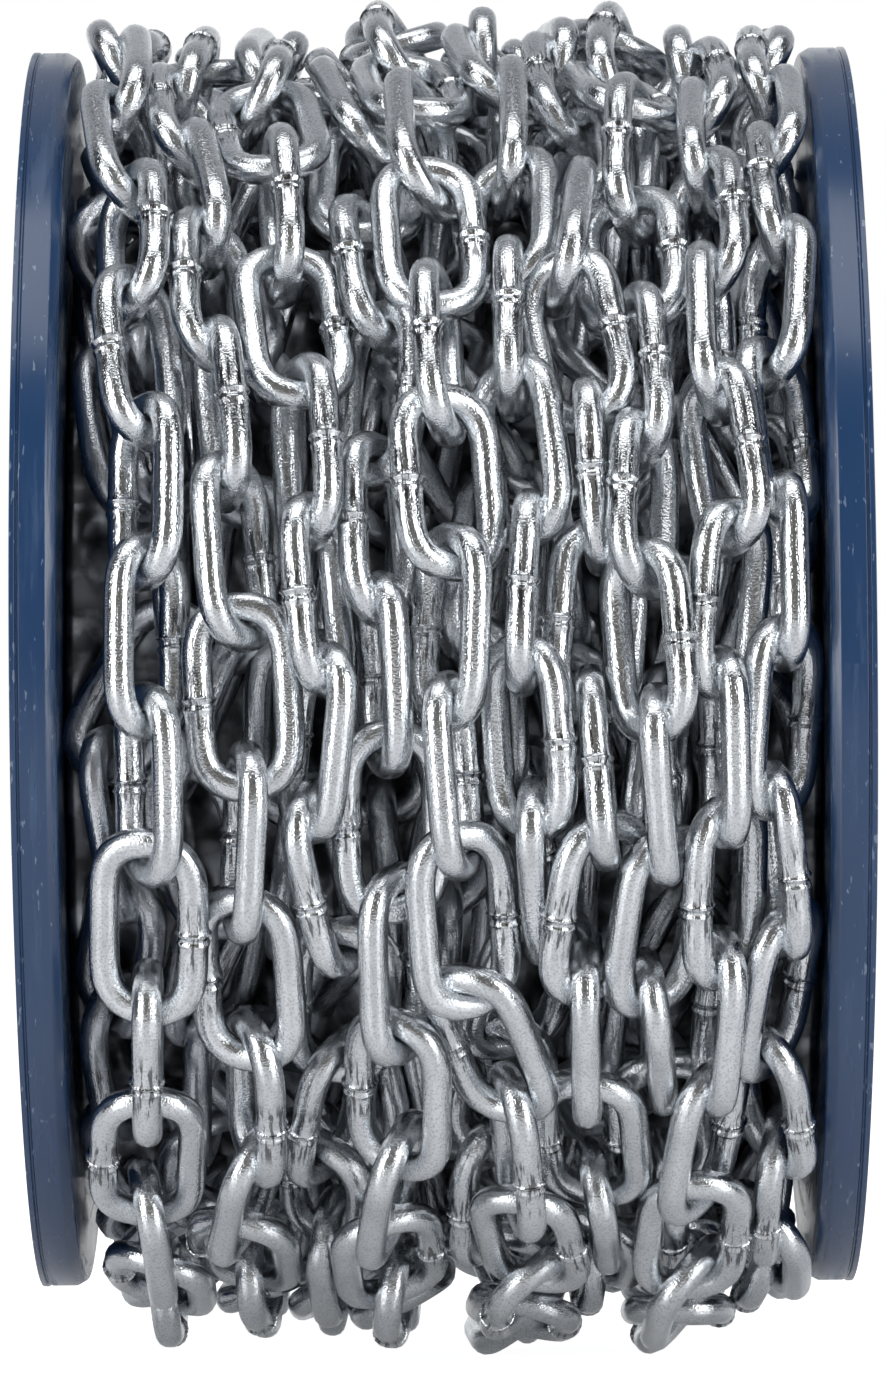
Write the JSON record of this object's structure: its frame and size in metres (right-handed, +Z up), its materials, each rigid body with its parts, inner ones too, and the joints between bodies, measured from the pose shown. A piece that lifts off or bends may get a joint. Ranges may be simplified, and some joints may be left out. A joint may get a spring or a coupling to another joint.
{
  "type": "reel of steel chain",
  "caption": "Welded short-link steel chain wound side by side in layers on a two-flange plastic reel, lying with its axis level.",
  "frame": {"origin": "on the floor under the middle of the reel, half way between its flanges and under its axis", "axes": "+X along the reel's axis, to the right flange; -Y to the front, where the turns run down; +Z up"},
  "size_m": [0.111, 0.1909, 0.1867],
  "materials": {
    "reel_plastic": "navy blue moulded plastic with a satin gloss and fine rubbing marks",
    "chain": "bright zinc plate, glossy, slightly rough at the links' ends and welds",
    "inner_chain": "the same zinc plate in shadow"
  },
  "bodies": {
    "root": {"left_flange": "reel_plastic", "right_flange": "reel_plastic", "barrel": "reel_plastic", "chain_core": "inner_chain", "chain_turn_01": "chain", "chain_turn_02": "chain", "chain_turn_03": "chain", "chain_turn_04": "chain", "chain_turn_05": "chain", "chain_turn_06": "chain", "chain_turn_07": "chain", "chain_turn_08": "chain", "chain_turn_09": "chain", "chain_turn_10": "chain"}
  },
  "joints": []
}
